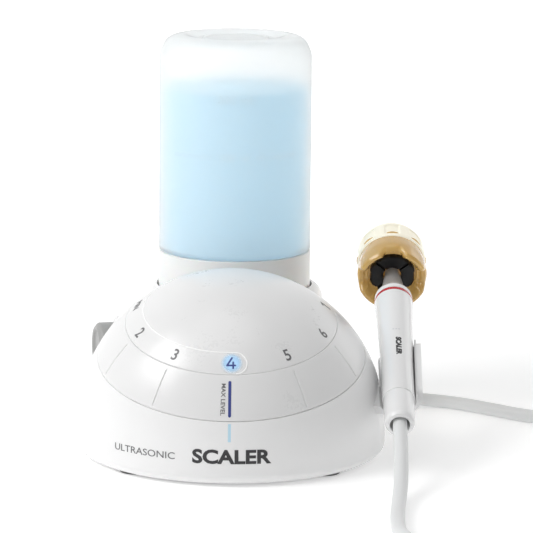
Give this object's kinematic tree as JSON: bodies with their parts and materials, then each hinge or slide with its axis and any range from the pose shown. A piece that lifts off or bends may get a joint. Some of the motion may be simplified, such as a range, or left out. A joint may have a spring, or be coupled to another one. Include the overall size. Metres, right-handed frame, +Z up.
{
  "type": "ultrasonic scaler",
  "caption": "Table-top ultrasonic scaler: domed unit with a setting dial, inverted water bottle, flow knob, side cradle, corded handpiece and tip wrench.",
  "frame": {"origin": "point of the table under the middle of the dome, on the underside of the centre foot", "axes": "+Z up, -Y towards the front with the dial's index, +X towards the side with the handpiece cradle"},
  "size_m": [0.3039, 0.3084, 0.173],
  "materials": {
    "casing_white": "fine satin moulded plastic",
    "dial_white": "satin moulded plastic",
    "plate_grey": "moulded plastic",
    "foot_rubber": "matt rubber",
    "screw_steel": "zinc plated",
    "light_guide": "clear light guide",
    "inner_plastic": "moulded plastic",
    "bearing_bronze": "sintered bushing",
    "board_green": "solder mask",
    "copper": "enamelled copper winding",
    "heat_sink": "black anodised",
    "collar_white": "satin translucent white",
    "bottle_frost": "frosted translucent",
    "liquid_blue": "pale blue liquid",
    "soft_tube": "silicone",
    "knob_grey": "mid grey satin",
    "handpiece_white": "glossy autoclavable plastic",
    "ring_red": "glossy red",
    "nose_steel": "turned steel",
    "titanium": "machined titanium",
    "ceramic": "piezo ceramic",
    "wrench_amber": "translucent amber",
    "wrench_cream": "satin cream",
    "insert_black": "glossy black",
    "liner_pale": "soft liner",
    "panel_white": "satin moulded plastic",
    "socket_black": "moulded plastic",
    "cord_grey": "satin silicone"
  },
  "bodies": {
    "unit": {"base_shell": "casing_white", "bottom_plate": "plate_grey", "rubber_feet": "foot_rubber", "case_screws": "screw_steel", "index_light_guide": "light_guide", "dial_deck": "inner_plastic", "dial_bushing": "bearing_bronze", "dial_encoder": "inner_plastic", "lamp_board": "board_green", "bottle_collar": "collar_white", "bottle_seat": "inner_plastic", "seat_seal": "foot_rubber", "handpiece_cradle": "casing_white", "cradle_liner": "liner_pale", "valve_body": "inner_plastic", "feed_tube": "soft_tube", "outlet_tube": "soft_tube", "main_board": "board_green", "board_standoffs": "screw_steel", "transformer": "copper", "driver_heat_sink": "heat_sink", "rear_panel": "panel_white", "mains_inlet": "socket_black", "footswitch_socket": "socket_black", "switch_frame": "socket_black", "cord_gland": "inner_plastic", "strain_relief": "cord_grey", "cord_supply_run": "cord_grey", "cord_coil": "cord_grey", "cord_handpiece_run": "cord_grey"},
    "dial": {"dial_ring": "dial_white", "dial_cap": "dial_white", "dial_hub": "inner_plastic", "dial_screws": "screw_steel"},
    "flow_knob": {"flow_knob": "knob_grey", "knob_shaft": "screw_steel"},
    "bottle": {"bottle_shell": "bottle_frost", "irrigation_liquid": "liquid_blue", "bottle_cap": "collar_white", "cap_seal": "foot_rubber", "cap_valve": "soft_tube"},
    "handpiece": {"handpiece_collar": "handpiece_white", "cord_sleeve": "cord_grey", "handpiece_body": "handpiece_white", "red_ring": "ring_red", "front_ring": "handpiece_white", "nose_cone": "nose_steel", "back_mass": "titanium", "piezo_stack": "ceramic", "ultrasonic_horn": "titanium", "scaler_tip": "nose_steel"},
    "wrench": {"wrench_body": "wrench_amber", "wrench_grip": "wrench_cream", "wrench_insert": "insert_black"},
    "power_rocker": {"power_rocker": "socket_black"}
  },
  "joints": [
    {"name": "dial_turn", "type": "hinge", "parent": "unit", "child": "dial", "pos_m": [0, 0, 0.012], "axis": [0, -0.284, 0.9588], "range_deg": [-206, 103]},
    {"name": "flow_knob_turn", "type": "hinge", "parent": "unit", "child": "flow_knob", "pos_m": [-0.0616, 0.03685, 0.0364], "axis": [-0.9703, -0.2419, 0], "range_deg": [-135, 135]},
    {"name": "bottle_lift", "type": "slide", "parent": "unit", "child": "bottle", "axis": [0, 0, 1], "range_m": [0, 0.04]},
    {"name": "handpiece_lift", "type": "slide", "parent": "unit", "child": "handpiece", "axis": [0, -0.3827, 0.9239], "range_m": [0, 0.04]},
    {"name": "wrench_pull", "type": "slide", "parent": "handpiece", "child": "wrench", "axis": [0, 0.9239, 0.3827], "range_m": [0, 0.045]},
    {"name": "power_rocker_tilt", "type": "hinge", "parent": "unit", "child": "power_rocker", "pos_m": [0.0155, 0.12, 0.02075], "axis": [1, 0, 0], "range_deg": [-14, 0]}
  ]
}
